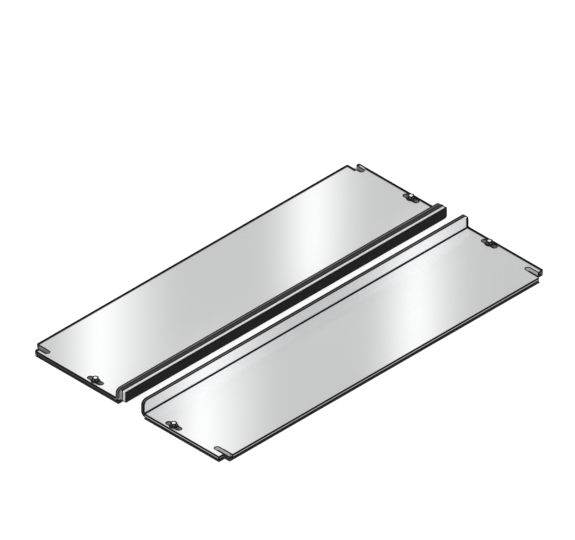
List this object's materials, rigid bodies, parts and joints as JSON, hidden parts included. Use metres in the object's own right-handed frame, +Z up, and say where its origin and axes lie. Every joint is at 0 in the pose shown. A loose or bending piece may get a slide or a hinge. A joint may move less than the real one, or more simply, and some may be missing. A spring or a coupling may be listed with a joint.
{
  "type": "enclosure floor plate",
  "caption": "Split floor plate of folded sheet steel for an electrical enclosure, with a sealed cable gap between its halves.",
  "frame": {"origin": "middle of the four-screw pattern, in the plane of the plates' undersides", "axes": "+X along the plates, +Y from the front half to the rear half, +Z up into the enclosure"},
  "size_m": [0.928, 0.5555, 0.0465],
  "materials": {
    "zinc_sheet": "bright zinc-coated sheet, satin",
    "zinc_screw": "darkened zinc plating, bright on the crown of the head",
    "grey_backing": "stiff dark grey backing strip, matt",
    "pale_foam": "closed-cell foam, matt",
    "black_rubber": "smooth sheet rubber, matt"
  },
  "bodies": {
    "root": {"rear_plate": "zinc_sheet", "front_plate": "zinc_sheet", "seal_backing": "grey_backing", "seal_foam": "pale_foam", "seal_face": "black_rubber", "rear_left_screw": "zinc_screw", "rear_right_screw": "zinc_screw", "front_left_screw": "zinc_screw", "front_right_screw": "zinc_screw"}
  },
  "joints": []
}
